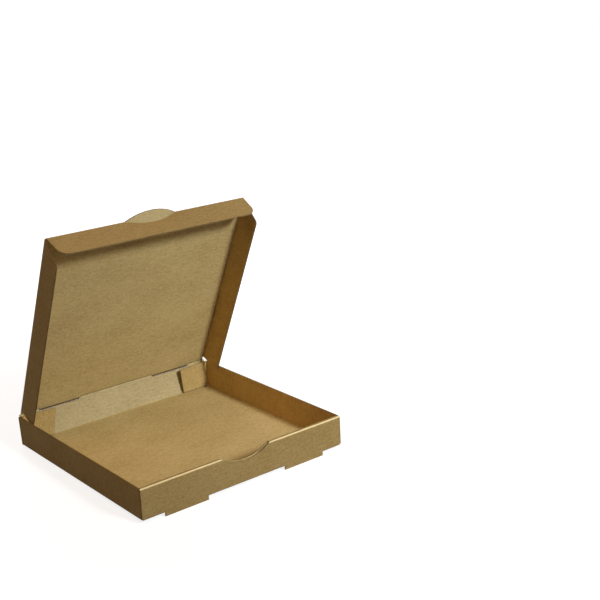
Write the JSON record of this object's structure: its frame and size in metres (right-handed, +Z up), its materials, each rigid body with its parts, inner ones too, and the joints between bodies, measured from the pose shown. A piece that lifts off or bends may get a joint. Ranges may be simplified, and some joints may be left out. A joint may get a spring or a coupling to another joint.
{
  "type": "pizza box",
  "caption": "Square folded corrugated board pizza box with a hinged lid, tuck flaps, a rolled tab-locked front wall, a thumb notch and a half-moon tab.",
  "frame": {"origin": "middle of the floor's underside", "axes": "+X right along the front wall, +Y towards the hinge at the back, +Z up"},
  "size_m": [0.3, 0.304, 0.3164],
  "materials": {
    "kraft_board": "matt brown kraft liner, unprinted"
  },
  "bodies": {
    "base": {"base_tray": "kraft_board"},
    "lid": {"lid_panel": "kraft_board"},
    "front_flap": {"lid_front_flap": "kraft_board"},
    "left_flap": {"lid_left_flap": "kraft_board"},
    "right_flap": {"lid_right_flap": "kraft_board"}
  },
  "joints": [
    {"name": "lid_hinge", "type": "hinge", "parent": "base", "child": "lid", "pos_m": [0, 0.15257, 0.042], "axis": [-1, 0, 0], "range_deg": [-64, 116]},
    {"name": "front_flap_fold", "type": "hinge", "parent": "lid", "child": "front_flap", "pos_m": [0, 0.02563, 0.30226], "axis": [-1, 0, 0], "range_deg": [0, 90]},
    {"name": "right_flap_fold", "type": "hinge", "parent": "lid", "child": "right_flap", "pos_m": [0.146, 0.15257, 0.042], "axis": [0, -0.4384, 0.8988], "range_deg": [-2.2, 87.8]},
    {"name": "left_flap_fold", "type": "hinge", "parent": "lid", "child": "left_flap", "pos_m": [-0.146, 0.15257, 0.042], "axis": [0, 0.4384, -0.8988], "range_deg": [-2.2, 87.8]}
  ]
}
